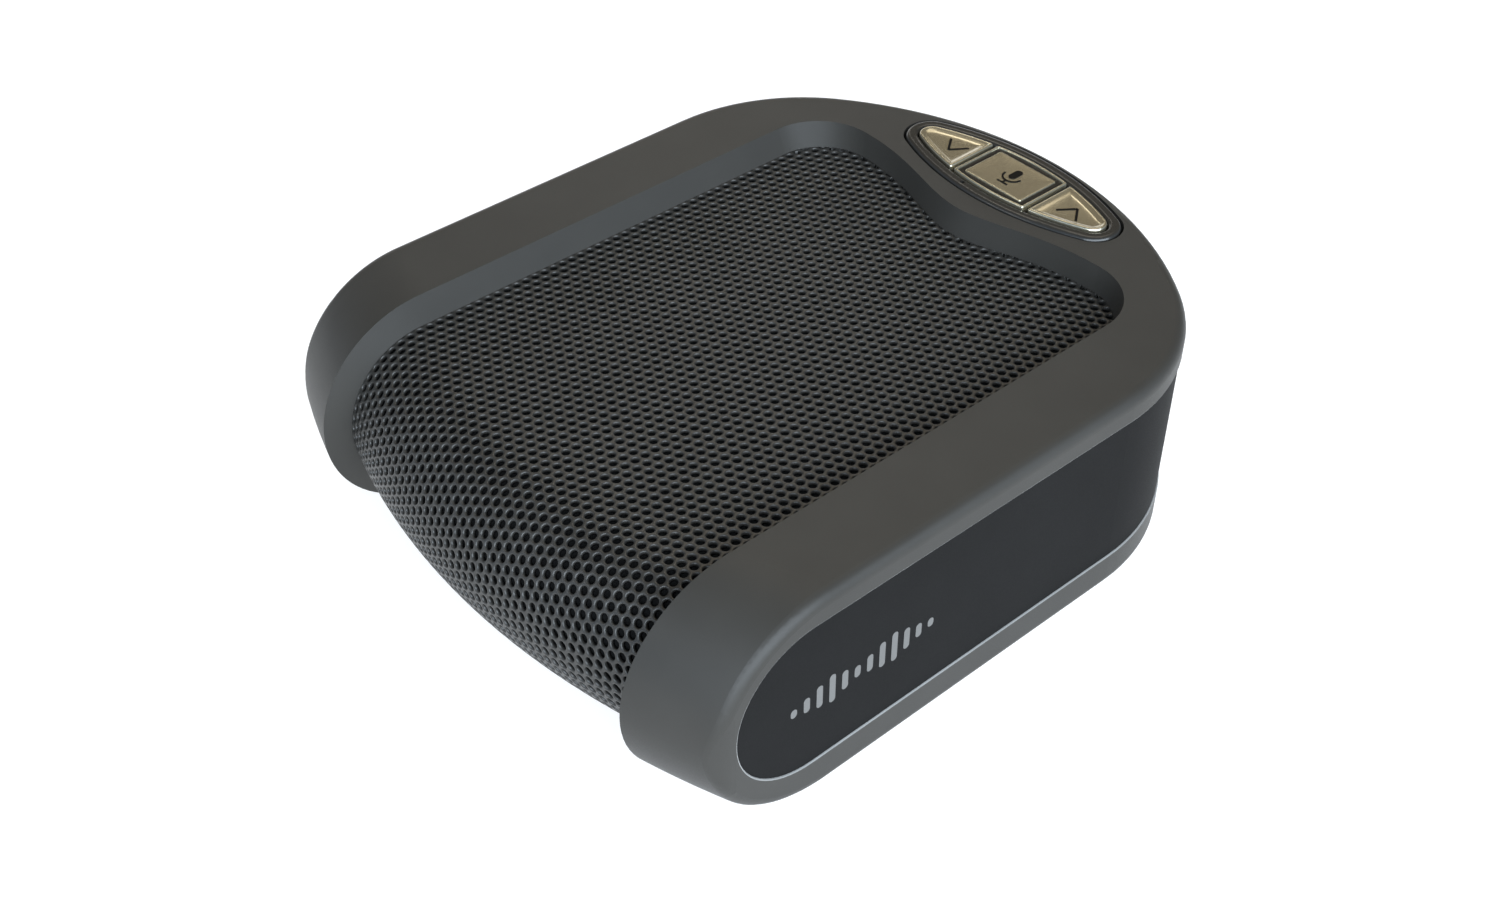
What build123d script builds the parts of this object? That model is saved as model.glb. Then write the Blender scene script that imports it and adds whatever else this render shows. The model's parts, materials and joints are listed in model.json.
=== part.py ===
from build123d import *
import os
from math import sqrt

# Conference speakerphone: a cordless table unit. A perforated metal grille lies between two arms
# and turns down at the front, and three keys sit in a lens-shaped bezel at the rear.
# +Z is up, -Y is the front, and the origin is on the table at the middle of the unit's box.
# Lengths are in millimetres.

# ---- driving dimensions -------------------------------------------------------------------------
WIDTH = 102.3
DEPTH = 122.7                       # from the grille's front to the rear wall
RIM_TOP = 37.7                      # top face of the arms and the rear deck
BASE = 0.4                          # underside of the housing, held up by the feet
ARM_BOW = 137.7                     # bow of the two arm noses, seen from above
ARM_BOW_FRONT = -65.2               # where that bow would cross the middle, ahead of the grille
REAR_RADIUS = 63.0                  # rear wall, seen from above
CORNER_RADIUS = 32.3                # rear corners, seen from above
NOSE_CORNER = 5.0                   # outer corners of the arm noses, seen from above
EDGE = 1.8                          # rounding of the rim's outer edge

GRILLE_TOP = 33.2
GRILLE_BOTTOM = 4.5                 # underside of its lip
GRILLE_SHEET = 0.8
CLOTH_SHEET = 0.3
GRILLE_HALF = 35.55                 # half width of the opening at the grille
RIM_HALF = 37.0                     # half width of the opening at the rim's top
GRILLE_FRONT_RADIUS = 123.2         # bow of the grille's front, seen from above

WALL = 2.2
BELT_DEPTH = 1.85                   # recess for the side belt
BELT_SHEET = 1.6
BELT_RADIUS = 13.45                 # nose of the belt, seen from the side
BELT_CENTRE = (-38.65, 20.05)       # and its middle, as y and z
SHELL_WALL = 4.1                    # recess and wall together
COVER_GAP = 0.1

POD_Y = 51.15                       # middle of the key cluster
POD_LENGTH = 20.25                  # half length and half width of the lens of three keys
POD_HALF = 6.03
POD_TIP = 2.3                       # radius at the lens's two tips
BEZEL_WIDTH = 2.34
BEZEL_TOP = 38.05
BEZEL_BOTTOM = 35.35
BEZEL_GROOVE = 0.36
KEY_TOP = 38.3
KEY_BOTTOM = 34.9
KEY_TRAVEL = 0.6
KEY_GAP = 0.15
KEY_EDGE = 0.35
SIDE_KEY_START = 8.55               # inner edge of the two volume keys
MUTE_HALF = 7.74                    # half width of the middle key
MUTE_FRAME = 0.63
MUTE_PLATE = (12.4, 8.8)

SPEAKER_Y = -3.0
SPEAKER_RADIUS = 25.0
BAFFLE_TOP = 30.1
BAFFLE_SHEET = 2.0

BOARD_TOP = 10.2
BOARD_SHEET = 1.2
KEY_BOARD_TOP = 32.2
HOUSING_SCREWS = [(-41, -26), (41, -26), (-24, 48), (24, 48)]
BOARD_SCREWS = [(x, y) for x in (-26, 26) for y in (17, 40)]
BAFFLE_SCREWS = [(x, y) for x in (-34.2, 34.2) for y in (-20, 28)]
KEY_BOARD_FRONT = 44.0
KEY_BOARD_SCREWS = [(-15, 45.2), (15, 45.2)]
SCREW_TIP = 12.0
MIC = (-4.1, 44.1)                  # microphone, under the port in the bezel
MIC_PORT = 0.4
MIC_RADIUS = 1.6
MIC_BOOT_RADIUS = 2.1
MIC_BOOT_HEIGHT = 2.0
SOCKET = (7.4, 5.6, 2.6)            # charging socket: width, depth, height
SOCKET_HOLE = (8.0, 3.2)            # and the windows for it and for the switch
SOCKET_X = -7.0
SOCKET_FACE = 60.3
SOCKET_Z = BOARD_TOP + SOCKET[2] / 2
SWITCH_X = 7.0
SWITCH_KNOB = (3.2, 1.8)
SWITCH_FACE = 55.8
SWITCH_TRAVEL = 2.0
BATTERY_Y = -14.0
KEY_CENTRES = {"volume_down": -12.8, "mute": 0.0, "volume_up": 12.8}
SOUND_HOLE = 22.0
FLANGE_TOP = 27.8
LABEL = (34, 14)                    # blank rating plate
LABEL_Y = 8.0
GRILLE_GAP = 0.05                   # round the grille's edge
GRILLE_LIP = -41.0                  # where the grille's lip ends, under its front
FEET = [(-27, -37), (27, -37), (-33, 34), (33, 34)]
FOOT_RADIUS = 5.0
FOOT_RECESS = 0.6

# ---- worked out from them -------------------------------------------------------------------------
HALF = WIDTH / 2
REAR = DEPTH / 2
NOSE_RADIUS = (RIM_TOP - BASE) / 2
NOSE_Z = (RIM_TOP + BASE) / 2
BOW_CENTRE = ARM_BOW_FRONT + ARM_BOW
COVER_TOP = BASE + WALL
GRILLE_ROUND = (GRILLE_TOP - GRILLE_BOTTOM) / 2
GRILLE_SEAT = GRILLE_TOP - GRILLE_SHEET - CLOTH_SHEET
CAVITY_TOP = RIM_TOP - WALL
PAST = 1.0                          # how far a cutter runs past the face it cuts
BOW_AHEAD = 0.3                     # how far the plan outline runs ahead of the noses
DRAFT_END = -30.0                   # where the noses' drafted walls join the straight ones

os.makedirs("parts", exist_ok=True)


def keep(builder, name):
    """Label a finished piece and write it to its own STEP file."""
    builder.part.label = name
    export_step(builder.part, f"parts/{name}.step")


# ---- shared outlines -------------------------------------------------------------------------------
def bow_y(x, bow=ARM_BOW):
    """How far back the bow of the arm noses lies at x."""
    return BOW_CENTRE - sqrt(bow**2 - x**2)


def plan_outline(inset=0.0):
    """The housing seen from above, moved in by inset; its front lies just ahead of the noses."""
    half = HALF - inset
    radius = REAR_RADIUS - inset
    bow = ARM_BOW + BOW_AHEAD - inset
    corner_y = REAR - REAR_RADIUS + sqrt(radius**2 - half**2)
    with BuildSketch() as outline:
        with BuildLine():
            ThreePointArc((half, corner_y), (0, REAR - inset), (-half, corner_y))
            Line((-half, corner_y), (-half, bow_y(half, bow)))
            ThreePointArc((-half, bow_y(half, bow)), (0, bow_y(0, bow)), (half, bow_y(half, bow)))
            Line((half, bow_y(half, bow)), (half, corner_y))
        make_face()
        fillet(outline.vertices().group_by(Axis.Y)[-1], CORNER_RADIUS - inset)
        fillet(outline.vertices().group_by(Axis.Y)[0], max(NOSE_CORNER - inset, 1.0))
    return outline.sketch


def side_outline(centre, radius):
    """A shape seen from the side: straight top and bottom, and a half round nose about its centre."""
    with BuildSketch(Plane.YZ.offset(-HALF - PAST)) as outline:
        with Locations(centre):
            Circle(radius)
            Rectangle(2 * REAR, 2 * radius, align=(Align.MIN, Align.CENTER))
    return outline.sketch


def bowed_nose():
    """The space behind the arm noses: a disc about the bow's centre with a half round rim."""
    with BuildPart() as disc:
        with BuildSketch(Plane.YZ):
            with Locations((ARM_BOW_FRONT + NOSE_RADIUS, NOSE_Z)):
                Circle(NOSE_RADIUS)
                Rectangle(ARM_BOW - NOSE_RADIUS, 2 * NOSE_RADIUS, align=(Align.MIN, Align.CENTER))
        revolve(axis=Axis((0, BOW_CENTRE, 0), (0, 0, 1)))
    return disc.part


def outside_nose(x, front, top, bottom):
    """All that lies outside a half round nose at x, seen from the side, for the drafted inner walls."""
    radius = (top - bottom) / 2
    centre = front + radius
    with BuildSketch(Plane.YZ.offset(x)) as face:
        with BuildLine():
            Line((DRAFT_END, top), (centre, top))
            ThreePointArc((centre, top), (front, (top + bottom) / 2), (centre, bottom))
            Polyline((centre, bottom), (centre, -PAST), (-2 * REAR, -PAST), (-2 * REAR, 2 * RIM_TOP),
                     (DRAFT_END, 2 * RIM_TOP), (DRAFT_END, top))
        make_face()
    return face.sketch


def nose_draft(side):
    """What the drafted inner wall takes off one arm's nose: from the grille's edge out to the rim's."""
    grille_y = -REAR + GRILLE_FRONT_RADIUS - sqrt(GRILLE_FRONT_RADIUS**2 - GRILLE_HALF**2)
    with BuildPart() as wedge:
        add(outside_nose(side * GRILLE_HALF, grille_y, GRILLE_TOP, GRILLE_BOTTOM))
        add(outside_nose(side * RIM_HALF, bow_y(RIM_HALF), RIM_TOP, BASE))
        loft(ruled=True)
    return wedge.part


def grille_opening(half, peak, middle, corner, front=-2 * REAR):
    """The grille's opening: straight sides, round rear corners, and a rear edge that bulges forward."""
    peak_x = half - corner - 0.4
    with BuildSketch() as opening:
        with BuildLine():
            Spline((peak_x, peak), (0, middle), (-peak_x, peak), tangents=[(-1, 0), (-1, 0)])
            Polyline((-peak_x, peak), (-half, peak), (-half, front), (half, front), (half, peak), (peak_x, peak))
        make_face()
        corners = [v for v in opening.vertices() if abs(abs(v.X) - half) < 0.01 and v.Y > 0]
        fillet(corners, corner)
    return opening.sketch


def opening_at_grille(grow=0.0):
    """The opening where the grille lies, moved outward by grow."""
    return grille_opening(GRILLE_HALF + grow, 42.6 + grow, 37.3 + grow, 9.5 + grow)


def lens(grow=0.0):
    """The key cluster's lens: two long arcs joined by two round tips, moved outward by grow."""
    length, half, tip = POD_LENGTH + grow, POD_HALF + grow, POD_TIP + grow
    run = length - tip
    radius = (run**2 + half**2 - tip**2) / (2 * (half - tip))
    scale = radius / (radius - tip)
    x, y = run * scale, half - radius + (radius - half) * scale
    with BuildSketch() as face:
        with BuildLine():
            ThreePointArc((-x, POD_Y + y), (0, POD_Y + half), (x, POD_Y + y))
            ThreePointArc((x, POD_Y + y), (length, POD_Y), (x, POD_Y - y))
            ThreePointArc((x, POD_Y - y), (0, POD_Y - half), (-x, POD_Y - y))
            ThreePointArc((-x, POD_Y - y), (-length, POD_Y), (-x, POD_Y + y))
        make_face()
    return face.sketch


def strip(x_low, x_high, y_low, y_high):
    """A rectangle given by its four sides."""
    with BuildSketch() as face:
        with Locations(((x_low + x_high) / 2, (y_low + y_high) / 2)):
            Rectangle(x_high - x_low, y_high - y_low)
    return face.sketch


def belt_ring(outer_inset, inner_inset, radius):
    """A band round both sides and the rear, between two insets of the outline."""
    with BuildPart() as ring:
        with BuildSketch():
            add(plan_outline(outer_inset))
            add(plan_outline(inner_inset), mode=Mode.SUBTRACT)
        extrude(amount=2 * RIM_TOP)
        with BuildSketch():
            add(strip(-GRILLE_HALF - 9, GRILLE_HALF + 9, -2 * REAR, 0))
        extrude(amount=2 * RIM_TOP, mode=Mode.SUBTRACT)
        extrude(side_outline(BELT_CENTRE, radius), amount=WIDTH + 2 * PAST, mode=Mode.INTERSECT)
    return ring.part


def cover_outline(gap=0.0):
    """The bottom cover: the housing's inside, with a tongue that reaches forward under the grille."""
    with BuildSketch() as face:
        add(plan_outline(SHELL_WALL + gap))
        add(strip(-HALF, HALF, -34 + gap, REAR), mode=Mode.INTERSECT)
        add(strip(-GRILLE_HALF + gap, GRILLE_HALF - gap, -46.5 + gap, 0))
    return face.sketch


# ---- housing ---------------------------------------------------------------------------------------
with BuildPart() as cavity:
    # the hollow inside: the two arms and the rear, then the speaker's chamber under the grille
    with BuildSketch(Plane.XY.offset(BASE - PAST)):
        add(plan_outline(SHELL_WALL))
        add(opening_at_grille(2.0), mode=Mode.SUBTRACT)
    extrude(amount=CAVITY_TOP - BASE + PAST)
    with BuildSketch(Plane.XY.offset(KEY_BOARD_TOP)):
        add(lens(5.5))
    extrude(amount=RIM_TOP, mode=Mode.SUBTRACT)
    with BuildSketch(Plane.XY.offset(COVER_TOP)):
        add(opening_at_grille(2.0 + 0.01))
        add(strip(-HALF, HALF, -30, REAR), mode=Mode.INTERSECT)
    extrude(amount=BAFFLE_TOP - COVER_TOP)
    with Locations(*[(x, y, RIM_TOP) for x, y in HOUSING_SCREWS]):
        Cylinder(2.4, RIM_TOP - COVER_TOP - 2, align=(Align.CENTER, Align.CENTER, Align.MAX), mode=Mode.SUBTRACT)
    outer_nose = (bow_y(HALF) + NOSE_RADIUS, NOSE_Z)
    extrude(side_outline(outer_nose, NOSE_RADIUS - WALL), amount=WIDTH + 2 * PAST, mode=Mode.INTERSECT)

belt_recess = belt_ring(-PAST, BELT_DEPTH, BELT_RADIUS)
nose_disc = bowed_nose()
nose_drafts = [nose_draft(side) for side in (-1, 1)]

with BuildPart() as upper_housing:
    with BuildSketch(Plane.XY.offset(BASE)):
        add(plan_outline())
    extrude(amount=RIM_TOP - BASE)
    add(nose_disc, mode=Mode.INTERSECT)
    creases = upper_housing.edges().filter_by(
        lambda e: e.bounding_box().size.Y > 1.0 and (e.center().Y > 0 or abs(e.center().X) > GRILLE_HALF)
    )
    fillet(creases, EDGE)
    add(cavity.part, mode=Mode.SUBTRACT)
    # the way through for the grille, its seat, and the drafted wall above it
    with BuildSketch(Plane.XY.offset(BASE - PAST)):
        add(strip(-GRILLE_HALF, GRILLE_HALF, -2 * REAR, -38))
    extrude(amount=RIM_TOP + PAST, mode=Mode.SUBTRACT)
    for draft in nose_drafts:
        add(draft, mode=Mode.SUBTRACT)
    with BuildSketch(Plane.XY.offset(COVER_TOP)):
        add(opening_at_grille(-2.5))
    extrude(amount=RIM_TOP, mode=Mode.SUBTRACT)
    with BuildSketch(Plane.XY.offset(GRILLE_SEAT)):
        add(opening_at_grille())
    extrude(amount=RIM_TOP, mode=Mode.SUBTRACT)
    with BuildSketch(Plane.XY.offset(GRILLE_TOP)):
        add(opening_at_grille())
    with BuildSketch(Plane.XY.offset(RIM_TOP)):
        add(grille_opening(RIM_HALF, 43.2, 38.4, 10.5))
    loft(mode=Mode.SUBTRACT)
    # the underside, open for the bottom cover
    with BuildSketch(Plane.XY.offset(BASE - PAST)):
        add(cover_outline())
    extrude(amount=WALL + PAST, mode=Mode.SUBTRACT)
    add(belt_recess, mode=Mode.SUBTRACT)
    # the key pod: room for the keys, and the seat of the bezel
    with BuildSketch(Plane.XY.offset(KEY_BOARD_TOP)):
        add(lens(1.0))
    extrude(amount=RIM_TOP, mode=Mode.SUBTRACT)
    with BuildSketch(Plane.XY.offset(BEZEL_BOTTOM)):
        add(lens(BEZEL_WIDTH + BEZEL_GROOVE))
    extrude(amount=RIM_TOP, mode=Mode.SUBTRACT)
    # bores: housing screws, baffle screws, key board screws, microphone, charging socket and switch
    with Locations(*[(x, y, SCREW_TIP) for x, y in HOUSING_SCREWS]):
        Cylinder(1.1, SCREW_TIP, align=(Align.CENTER, Align.CENTER, Align.MAX), mode=Mode.SUBTRACT)
    with Locations(*[(x, y, BAFFLE_TOP) for x, y in BAFFLE_SCREWS]):
        Cylinder(0.85, 1.6, align=(Align.CENTER, Align.CENTER, Align.MIN), mode=Mode.SUBTRACT)
    with Locations(*[(x, y, KEY_BOARD_TOP) for x, y in KEY_BOARD_SCREWS]):
        Cylinder(0.85, 2.4, align=(Align.CENTER, Align.CENTER, Align.MIN), mode=Mode.SUBTRACT)
    with Locations((*MIC, KEY_BOARD_TOP)):
        Cylinder(MIC_BOOT_RADIUS, MIC_BOOT_HEIGHT, align=(Align.CENTER, Align.CENTER, Align.MIN), mode=Mode.SUBTRACT)
    with Locations((*MIC, KEY_BOARD_TOP)):
        Cylinder(MIC_PORT, RIM_TOP, align=(Align.CENTER, Align.CENTER, Align.MIN), mode=Mode.SUBTRACT)
    with Locations((SOCKET_X, REAR, SOCKET_Z), (SWITCH_X, REAR, SOCKET_Z)):
        Box(SOCKET_HOLE[0], 14, SOCKET_HOLE[1], mode=Mode.SUBTRACT)
keep(upper_housing, "upper_housing")

side_belt_ring = belt_ring(BELT_DEPTH - BELT_SHEET, BELT_DEPTH, BELT_RADIUS - 0.12)
with BuildPart() as side_belt:
    add(side_belt_ring)
    with Locations((SOCKET_X, REAR, SOCKET_Z), (SWITCH_X, REAR, SOCKET_Z)):
        Box(SOCKET_HOLE[0], 14, SOCKET_HOLE[1], mode=Mode.SUBTRACT)
keep(side_belt, "side_belt")

with BuildPart() as bottom_cover:
    with BuildSketch(Plane.XY.offset(BASE)):
        add(cover_outline(COVER_GAP))
    extrude(amount=WALL)
    with Locations(*[(x, y, COVER_TOP) for x, y in HOUSING_SCREWS]):
        Cylinder(3.0, 2.0, align=(Align.CENTER, Align.CENTER, Align.MIN))
    with Locations((0, -46.5 + COVER_GAP, COVER_TOP)):
        Box(2 * GRILLE_HALF - 1.0, 6.0, GRILLE_BOTTOM - COVER_TOP, align=(Align.CENTER, Align.MIN, Align.MIN))
    with Locations(*[(x, y, COVER_TOP) for x, y in BOARD_SCREWS]):
        Cylinder(2.6, BOARD_TOP - BOARD_SHEET - COVER_TOP, align=(Align.CENTER, Align.CENTER, Align.MIN))
        Cylinder(0.95, BOARD_TOP - COVER_TOP, align=(Align.CENTER, Align.CENTER, Align.MIN), mode=Mode.SUBTRACT)
    with Locations(*[(x, y, BASE) for x, y in HOUSING_SCREWS]):
        Cylinder(2.3, 1.6, align=(Align.CENTER, Align.CENTER, Align.MIN), mode=Mode.SUBTRACT)
        Cylinder(1.2, 5.0, align=(Align.CENTER, Align.CENTER, Align.MIN), mode=Mode.SUBTRACT)
    with Locations(*[(x, y, BASE) for x, y in FEET]):
        Cylinder(FOOT_RADIUS + 0.1, FOOT_RECESS, align=(Align.CENTER, Align.CENTER, Align.MIN), mode=Mode.SUBTRACT)
    with Locations((0, LABEL_Y, BASE)):
        Box(*LABEL, 0.2, align=(Align.CENTER, Align.CENTER, Align.MIN), mode=Mode.SUBTRACT)
keep(bottom_cover, "bottom_cover")

with BuildPart() as rubber_feet:
    with Locations(*[(x, y, 0) for x, y in FEET]):
        Cylinder(FOOT_RADIUS, BASE + FOOT_RECESS, align=(Align.CENTER, Align.CENTER, Align.MIN))
    fillet(rubber_feet.edges().group_by(Axis.Z)[0], 0.3)
keep(rubber_feet, "rubber_feet")

with BuildPart() as rating_plate:
    with Locations((0, LABEL_Y, BASE + 0.2)):
        Box(LABEL[0] - 0.4, LABEL[1] - 0.4, 0.15, align=(Align.CENTER, Align.CENTER, Align.MAX))
keep(rating_plate, "rating_plate")


# ---- grille ----------------------------------------------------------------------------------------
def grille_block(inset):
    """The space under the grille's outer face, moved in by inset: flat on top, half round in front."""
    front = -REAR + inset
    radius = GRILLE_FRONT_RADIUS - inset
    with BuildSketch(Plane.XY.offset(GRILLE_BOTTOM + inset)) as outline:
        add(opening_at_grille(-GRILLE_GAP))
        with Locations((0, front + radius)):
            Circle(radius, mode=Mode.INTERSECT)
    with BuildPart() as block:
        extrude(outline.sketch, amount=GRILLE_TOP - GRILLE_BOTTOM - 2 * inset)
        fronts = block.edges().filter_by(GeomType.CIRCLE).group_by(Axis.Y)[0]
        fillet(fronts, GRILLE_ROUND - inset - 0.02)
    return block.part


def bent_sheet(outer_inset, thickness):
    """A sheet bent round the block: the top, the half round front, and a lip under the front."""
    outer, inner = grille_block(outer_inset), grille_block(outer_inset + thickness)
    with BuildPart() as sheet:
        add(outer)
        add(inner, mode=Mode.SUBTRACT)
        with Locations((0, GRILLE_LIP, 0)):
            Box(WIDTH, DEPTH, 2 * GRILLE_TOP - 8, align=(Align.CENTER, Align.MIN, Align.CENTER), mode=Mode.SUBTRACT)
    return sheet.part


grille_sheet = bent_sheet(0, GRILLE_SHEET)
with BuildPart() as speaker_grille:
    add(grille_sheet)
keep(speaker_grille, "speaker_grille")

cloth_sheet = bent_sheet(GRILLE_SHEET, CLOTH_SHEET)
with BuildPart() as grille_cloth:
    add(cloth_sheet)
keep(grille_cloth, "grille_cloth")


# ---- keys ------------------------------------------------------------------------------------------
with BuildPart() as key_bezel:
    with BuildSketch(Plane.XY.offset(BEZEL_BOTTOM)):
        add(lens(BEZEL_WIDTH))
        add(lens(KEY_GAP), mode=Mode.SUBTRACT)
    extrude(amount=BEZEL_TOP - BEZEL_BOTTOM)
    fillet(key_bezel.edges().group_by(Axis.Z)[-1], 0.8)
    with Locations((*MIC, BEZEL_BOTTOM)):
        Cylinder(MIC_PORT, RIM_TOP, align=(Align.CENTER, Align.CENTER, Align.MIN), mode=Mode.SUBTRACT)
keep(key_bezel, "key_bezel")


def lens_slice(grow, x_low, x_high):
    """The part of the lens between two lines across it."""
    with BuildSketch() as face:
        add(lens(grow))
        add(strip(x_low, x_high, 0, DEPTH), mode=Mode.INTERSECT)
    return face.sketch


def key_blank(x_low, x_high):
    """A key's outer body: the cap in the bezel, and the flange under the bezel that keeps it in."""
    with BuildPart() as blank:
        with BuildSketch(Plane.XY.offset(KEY_BOTTOM)):
            add(lens_slice(0, x_low, x_high))
        extrude(amount=KEY_TOP - KEY_BOTTOM)
        fillet(blank.edges().group_by(Axis.Z)[-1], KEY_EDGE)
        with BuildSketch(Plane.XY.offset(KEY_BOTTOM)):
            add(lens_slice(0.5, x_low, x_high))
        extrude(amount=0.4)
    return blank.part


volume_up_blank = key_blank(SIDE_KEY_START, HALF)
with BuildPart() as volume_up_key:
    add(volume_up_blank)
keep(volume_up_key, "volume_up_key")

volume_down_blank = key_blank(-HALF, -SIDE_KEY_START)
with BuildPart() as volume_down_key:
    add(volume_down_blank)
keep(volume_down_key, "volume_down_key")

mute_blank = key_blank(-MUTE_HALF, MUTE_HALF)
mute_well = lens_slice(-MUTE_FRAME, -MUTE_HALF + MUTE_FRAME, MUTE_HALF - MUTE_FRAME)
with BuildPart() as mute_key_frame:
    add(mute_blank)
    with BuildSketch(Plane.XY.offset(KEY_BOTTOM + 0.6)):
        add(mute_well)
    extrude(amount=KEY_TOP, mode=Mode.SUBTRACT)
keep(mute_key_frame, "mute_key_frame")

with BuildPart() as mute_light_ring:
    with BuildSketch(Plane.XY.offset(KEY_BOTTOM + 0.6)):
        add(mute_well)
        with Locations((0, POD_Y)):
            Rectangle(*MUTE_PLATE, mode=Mode.SUBTRACT)
    extrude(amount=KEY_TOP - 0.35 - KEY_BOTTOM - 0.6)
keep(mute_light_ring, "mute_light_ring")

with BuildPart() as mute_key_plate:
    with Locations((0, POD_Y, KEY_BOTTOM + 0.6)):
        Box(*MUTE_PLATE, KEY_TOP - 0.05 - KEY_BOTTOM - 0.6, align=(Align.CENTER, Align.CENTER, Align.MIN))
    fillet(mute_key_plate.edges().group_by(Axis.Z)[-1], 0.3)
keep(mute_key_plate, "mute_key_plate")

for plunger_name, plunger_x in KEY_CENTRES.items():
    with BuildPart() as plunger:
        with Locations((plunger_x, POD_Y, KEY_BOTTOM)):
            Cylinder(1.0, 2.0, align=(Align.CENTER, Align.CENTER, Align.MAX))
    keep(plunger, f"{plunger_name}_plunger")

with BuildPart() as key_switches:
    with Locations(*[(x, POD_Y, KEY_BOARD_TOP) for x in KEY_CENTRES.values()]):
        Box(4.5, 4.5, 1.4, align=(Align.CENTER, Align.CENTER, Align.MIN))
        Cylinder(1.15, 1.4, align=(Align.CENTER, Align.CENTER, Align.MIN), mode=Mode.SUBTRACT)
keep(key_switches, "key_switches")

with BuildPart() as key_board:
    with BuildSketch(Plane.XY.offset(KEY_BOARD_TOP - BOARD_SHEET)):
        add(plan_outline(SHELL_WALL + 0.4))
        add(strip(-17, 17, KEY_BOARD_FRONT, REAR), mode=Mode.INTERSECT)
        with Locations(*KEY_BOARD_SCREWS):
            Circle(0.95, mode=Mode.SUBTRACT)
    extrude(amount=BOARD_SHEET)
keep(key_board, "key_board")

with BuildPart() as mute_lights:
    with Locations(*[(x, 47.8, KEY_BOARD_TOP) for x in (-5.5, 5.5)]):
        Box(1.6, 0.8, 0.6, align=(Align.CENTER, Align.CENTER, Align.MIN))
keep(mute_lights, "mute_lights")

with BuildPart() as microphone_boot:
    with Locations((*MIC, KEY_BOARD_TOP)):
        Cylinder(MIC_BOOT_RADIUS, MIC_BOOT_HEIGHT, align=(Align.CENTER, Align.CENTER, Align.MIN))
        Cylinder(MIC_RADIUS, 1.5, align=(Align.CENTER, Align.CENTER, Align.MIN), mode=Mode.SUBTRACT)
        Cylinder(MIC_PORT, RIM_TOP, align=(Align.CENTER, Align.CENTER, Align.MIN), mode=Mode.SUBTRACT)
keep(microphone_boot, "microphone_boot")

with BuildPart() as microphone_capsule:
    with Locations((*MIC, KEY_BOARD_TOP)):
        Cylinder(MIC_RADIUS, 1.5, align=(Align.CENTER, Align.CENTER, Align.MIN))
keep(microphone_capsule, "microphone_capsule")


# ---- speaker ---------------------------------------------------------------------------------------
SPEAKER_PLANE = Plane((0, SPEAKER_Y, 0), x_dir=(1, 0, 0), z_dir=(0, -1, 0))
SPEAKER_AXIS = Axis((0, SPEAKER_Y, 0), (0, 0, 1))


def turned(*points):
    """A solid turned about the speaker's axis from its half section, given as radius and height."""
    with BuildPart() as body:
        with BuildSketch(SPEAKER_PLANE):
            with BuildLine():
                Polyline(*points, close=True)
            make_face()
        revolve(axis=SPEAKER_AXIS)
    return body.part


def turned_ring(inner, outer, low, high):
    """A flat ring about the speaker's axis."""
    return turned((inner, low), (outer, low), (outer, high), (inner, high))


with BuildPart() as speaker_baffle:
    with BuildSketch(Plane.XY.offset(BAFFLE_TOP - BAFFLE_SHEET)):
        add(strip(-35.5, 35.5, -29.5, 33))
        with Locations((0, SPEAKER_Y)):
            Circle(SOUND_HOLE, mode=Mode.SUBTRACT)
        with Locations(*BAFFLE_SCREWS):
            Circle(1.0, mode=Mode.SUBTRACT)
    extrude(amount=BAFFLE_SHEET)
keep(speaker_baffle, "speaker_baffle")

speaker_rings = {
    "speaker_gasket": turned_ring(23.2, SPEAKER_RADIUS, FLANGE_TOP, FLANGE_TOP + 0.3),
    "speaker_top_plate": turned_ring(7.9, 13.0, 14.8, 16.8),
    "speaker_magnet": turned_ring(9.5, 14.0, 10.8, 14.8),
    "speaker_yoke": turned((0, 8.8), (14, 8.8), (14, 10.8), (6.4, 10.8), (6.4, 16.8), (0, 16.8)),
    "coil_former": turned_ring(6.8, 7.0, 12.4, 20.9),
    "voice_coil": turned_ring(7.0, 7.5, 14.0, 17.6),
    "speaker_cone": turned((7, 20.3), (17.6, 26.9), (18.8, 26.9), (18.8, 27.5), (17.4, 27.5), (7, 20.9)),
}
for ring_name, ring_part in speaker_rings.items():
    with BuildPart() as ring:
        add(ring_part)
    keep(ring, ring_name)

basket_body = turned(
    (7.9, 16.8), (14.5, 16.8), (14.5, 18.4), (22.6, 26.8), (SPEAKER_RADIUS, 26.8), (SPEAKER_RADIUS, FLANGE_TOP),
    (21.6, FLANGE_TOP), (21.6, 27.0), (14.2, 19.2), (14.2, 19.0), (12.3, 19.0), (12.3, 17.8), (7.9, 17.8)
)
with BuildPart() as speaker_basket:
    add(basket_body)
    with Locations(*[Plane(SPEAKER_PLANE.origin + Vector(0, 0, 23), z_dir=Vector(1, 0, 0).rotate(Axis.Z, angle))
                     for angle in range(45, 360, 90)]):
        Box(5.0, 12.0, 40.0, align=(Align.CENTER, Align.CENTER, Align.MIN), mode=Mode.SUBTRACT)
keep(speaker_basket, "speaker_basket")

dust_cap_body = turned((0, 23.0), (3.5, 22.4), (6.4, 20.9), (7.0, 20.9), (3.8, 22.8), (0, 23.4))
with BuildPart() as dust_cap:
    add(dust_cap_body)
keep(dust_cap, "dust_cap")

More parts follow.
